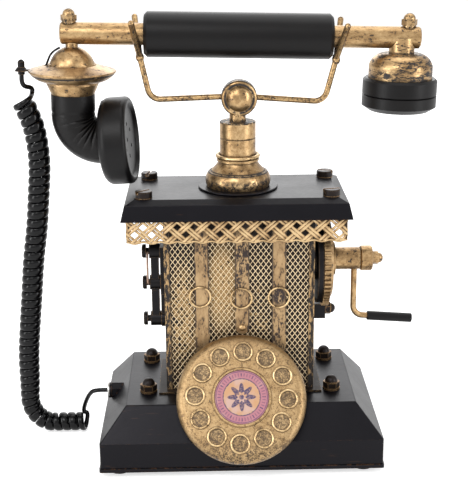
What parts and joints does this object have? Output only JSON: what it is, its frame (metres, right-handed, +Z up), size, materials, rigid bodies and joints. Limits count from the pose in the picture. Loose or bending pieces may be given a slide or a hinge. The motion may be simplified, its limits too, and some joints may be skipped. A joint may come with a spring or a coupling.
{
  "type": "table telephone",
  "caption": "Antique style table telephone with a handset on a wire cradle, a ring dial, a side crank and a curly cord.",
  "frame": {"origin": "on the table under the middle of the column", "axes": "+Z up, +X towards the crank, -Y towards the user and the dial"},
  "size_m": [0.243, 0.1192, 0.2564],
  "materials": {
    "sheet_black": "satin black paint, worn brown at the edges",
    "column_dark": "dark patinated paint",
    "black_metal": "black paint, rubbed brown and gold at the edges",
    "old_brass": "antique brass with a dark patina",
    "mesh_brass": "light brass net",
    "dial_brass": "brushed antique brass",
    "dial_card": "printed card, matte",
    "steel": "plain steel",
    "gong_brass": "plain brass",
    "grip_black": "satin black",
    "capsule": "plain",
    "foot_rubber": "matte",
    "wire_sleeve": "thin covered wire",
    "cord_black": "glossy black"
  },
  "bodies": {
    "stand": {"base_shell": "sheet_black", "base_bottom_plate": "sheet_black", "tray_top": "sheet_black", "dial_bracket": "sheet_black", "pedestal_washer": "sheet_black", "column_shell": "column_dark", "hook_switch": "column_dark", "cap_nuts": "black_metal", "tray_screws": "black_metal", "gland_nut": "black_metal", "bearing_plate": "black_metal", "pawl_block": "black_metal", "line_plate": "black_metal", "line_bar": "black_metal", "line_screws": "black_metal", "corner_trims": "old_brass", "front_straps": "old_brass", "strap_rivet": "old_brass", "ring_loops": "old_brass", "lace_skirt": "old_brass", "pedestal_bell": "old_brass", "pedestal_cone": "old_brass", "collar_ring": "old_brass", "pedestal_post": "old_brass", "mesh_front": "mesh_brass", "ringer_yoke": "steel", "dial_spindle": "steel", "cord_gland": "steel", "ringer_gongs": "gong_brass", "rubber_feet": "foot_rubber", "line_wire": "wire_sleeve", "curly_cord": "cord_black"},
    "hammer": {"ringer_hammer": "gong_brass"},
    "dial": {"dial_pan": "dial_brass", "dial_rings": "dial_brass", "dial_card": "dial_card"},
    "crank": {"crank_shaft": "steel", "drive_gear": "old_brass", "crank_tube": "old_brass", "crank_collar": "old_brass", "crank_cap_nut": "old_brass", "crank_arm": "old_brass"},
    "crank_handle": {"crank_grip": "grip_black"},
    "cradle": {"cradle_stem": "steel", "cradle_disc": "old_brass", "cradle_wire": "old_brass"},
    "handset": {"handset_rod": "old_brass", "handset_grip": "grip_black", "handset_nuts": "old_brass", "transmitter_dome": "old_brass", "transmitter_saucer": "old_brass", "transmitter_cup": "old_brass", "elbow": "grip_black", "mouthpiece": "grip_black", "mic_capsule": "capsule", "receiver_cap": "old_brass", "receiver_cup": "grip_black", "receiver_capsule": "capsule", "cord_terminal": "black_metal"}
  },
  "joints": [
    {"name": "handset_lift", "type": "slide", "parent": "stand", "child": "handset", "axis": [0, -0.6157, 0.788], "range_m": [0, 0.09], "deforming": ["curly_cord"]},
    {"name": "cradle_rise", "type": "slide", "parent": "stand", "child": "cradle", "axis": [0, 0, 1], "range_m": [0, 0.003]},
    {"name": "dial_turn", "type": "hinge", "parent": "stand", "child": "dial", "pos_m": [0, -0.048, 0.0472], "axis": [0, -0.8192, 0.5736], "continuous": true},
    {"name": "crank_turn", "type": "hinge", "parent": "stand", "child": "crank", "pos_m": [0, 0, 0.1121], "axis": [1, 0, 0], "continuous": true},
    {"name": "grip_turn", "type": "hinge", "parent": "crank", "child": "crank_handle", "pos_m": [0.0673, 0, 0.0771], "axis": [0.9972, 0, -0.075], "continuous": true},
    {"name": "hammer_swing", "type": "hinge", "parent": "stand", "child": "hammer", "pos_m": [0, -0.025, 0.02], "axis": [0, 0, 1], "range_deg": [-9, 9]}
  ],
  "couplings": [
    {"joint": "cradle_rise", "follows": "handset_lift", "ratio": 0.0333}
  ]
}
